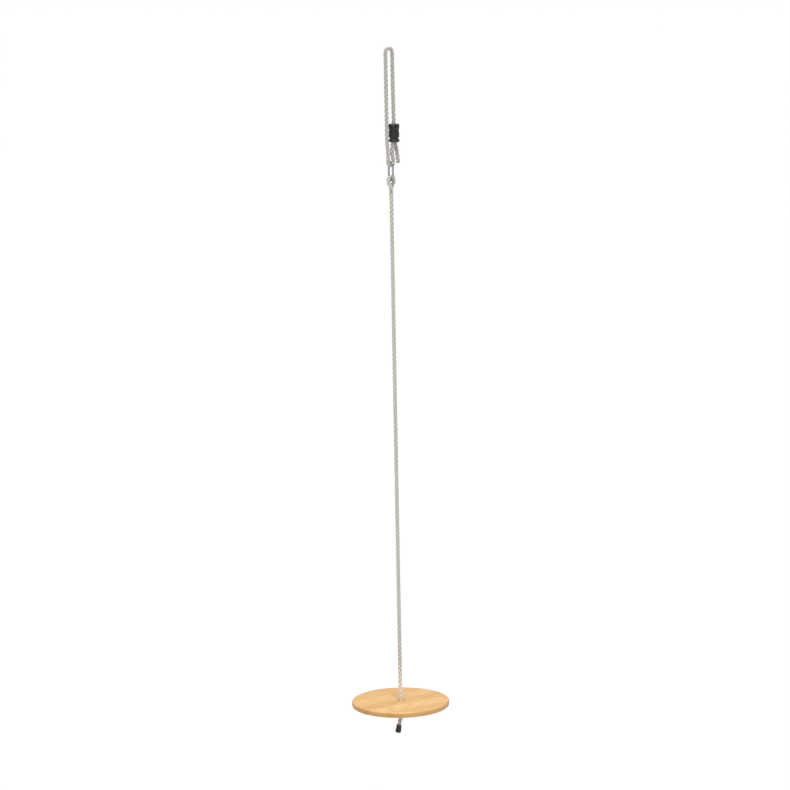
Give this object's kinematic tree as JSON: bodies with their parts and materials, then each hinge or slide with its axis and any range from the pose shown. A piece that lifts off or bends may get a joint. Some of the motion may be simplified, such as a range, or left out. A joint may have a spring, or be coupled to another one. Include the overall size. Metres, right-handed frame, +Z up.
{
  "type": "disc swing",
  "caption": "Round wooden disc seat on a single rope, hung by a snap hook from a rope sling with a clamp-type length adjuster.",
  "frame": {"origin": "inner crown of the sling's bight, the point that bears on the hook, eye or rung that carries the swing", "axes": "+Z up along the hanging line, +X across the sling's two strands and along the seat's grain, +Y from the side with the adjuster's screw heads to the back"},
  "size_m": [0.3, 0.3, 2.1165],
  "materials": {
    "rope": "laid synthetic hemp-look rope, off-white, matt",
    "black_plastic": "moulded, fine grain",
    "zinc": "bright zinc-plated steel, satin",
    "steel": "plain machined steel",
    "wood": "edge-glued light wood, clear oiled"
  },
  "bodies": {
    "sling": {"sling_rope": "rope", "adjuster_front_shell": "black_plastic", "adjuster_back_shell": "black_plastic", "adjuster_lock_ring": "black_plastic", "adjuster_screw_left": "steel", "adjuster_screw_right": "steel", "adjuster_nut_left": "steel", "adjuster_nut_right": "steel"},
    "snap_hook": {"carabiner_body": "zinc", "gate_pin": "steel"},
    "gate": {"carabiner_gate": "zinc", "gate_spring": "steel", "gate_plunger": "steel"},
    "rope_eye": {"seat_rope_eye": "rope"},
    "rope": {"seat_rope": "rope", "stopper_knot": "rope", "rope_tail": "rope", "rope_end_cap": "black_plastic"},
    "seat": {"seat_stave_1": "wood", "seat_stave_2": "wood", "seat_stave_3": "wood", "seat_stave_4": "wood", "seat_stave_5": "wood", "seat_stave_6": "wood"}
  },
  "joints": [
    {"name": "snap_hook_swing", "type": "hinge", "parent": "sling", "child": "snap_hook", "pos_m": [0, 0, -0.3441], "axis": [1, 0, 0], "range_deg": [-75, 75]},
    {"name": "gate_open", "type": "hinge", "parent": "snap_hook", "child": "gate", "pos_m": [0, 0.0106, -0.347], "axis": [-1, 0, 0], "range_deg": [0, 25], "stiffness_Nm_per_rad": 0.15, "springref_deg": -20.05},
    {"name": "rope_swing", "type": "hinge", "parent": "snap_hook", "child": "rope_eye", "pos_m": [0, 0, -0.3887], "axis": [0, 1, 0], "range_deg": [-75, 75]},
    {"name": "rope_twist", "type": "hinge", "parent": "rope_eye", "child": "rope", "pos_m": [0, 0, -0.495], "axis": [0, 0, 1], "continuous": true},
    {"name": "seat_lift", "type": "slide", "parent": "rope", "child": "seat", "axis": [0, 0, 1], "range_m": [0, 1.48]}
  ]
}
